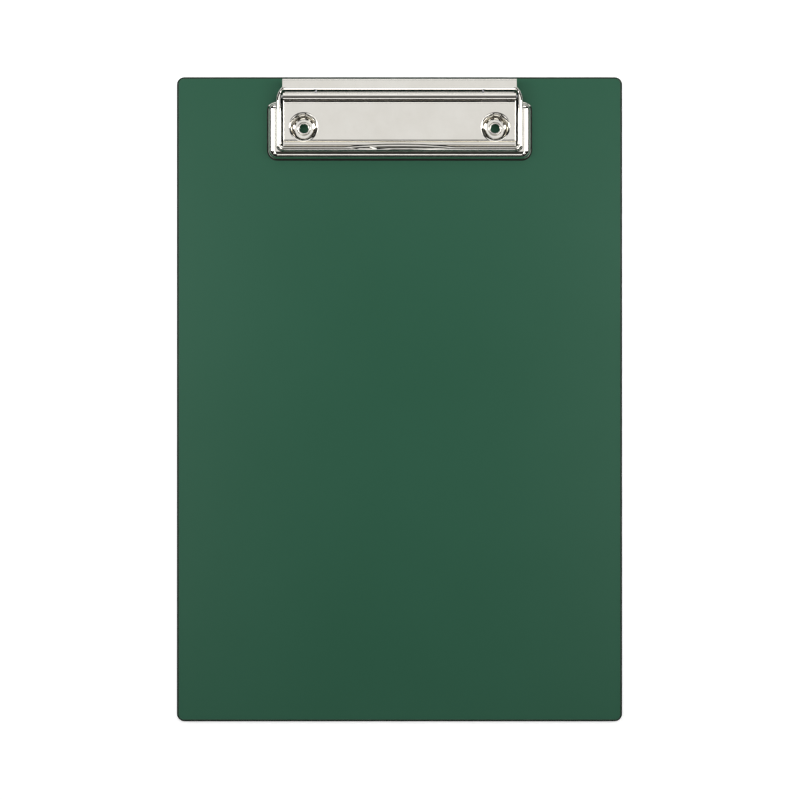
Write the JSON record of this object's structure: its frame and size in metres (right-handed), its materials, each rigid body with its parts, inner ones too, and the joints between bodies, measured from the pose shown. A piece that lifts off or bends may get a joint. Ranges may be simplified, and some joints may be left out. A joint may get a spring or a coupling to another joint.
{
  "type": "clipboard",
  "caption": "Rigid A4 clipboard: a card panel welded between two plastic films, with a low nickel-plated spring clip whose jaw hinges open along the short top edge.",
  "frame": {"origin": "middle of the back face, the one it lies on", "axes": "+X across the board, +Y along it towards the clip, +Z out of the writing face"},
  "size_m": [0.235, 0.34, 0.0092],
  "materials": {
    "cover_film": "satin, fine leather-like haze",
    "greyboard": "matte pressed fibre",
    "plated_steel": "bright nickel plate",
    "plain_steel": "zinc plated",
    "spring_steel": "drawn wire"
  },
  "bodies": {
    "board": {"board_core": "greyboard", "back_cover": "cover_film", "front_cover": "cover_film", "base_plate": "plated_steel", "hinge_rod": "plain_steel", "torsion_spring_left": "spring_steel", "torsion_spring_right": "spring_steel", "rivet_left": "plated_steel", "rivet_right": "plated_steel", "rivet_washer_left": "plain_steel", "rivet_washer_right": "plain_steel"},
    "jaw": {"lever_frame": "plated_steel", "clamp_jaw": "plated_steel", "jaw_rivet_left": "plain_steel", "jaw_rivet_right": "plain_steel"}
  },
  "joints": [
    {"name": "jaw_hinge", "type": "hinge", "parent": "board", "child": "jaw", "pos_m": [0, 0.1585, 0.0066], "axis": [-1, 0, 0], "range_deg": [0, 25], "stiffness_Nm_per_rad": 0.097, "springref_deg": -112.3, "deforming": ["torsion_spring_left", "torsion_spring_right"]}
  ]
}
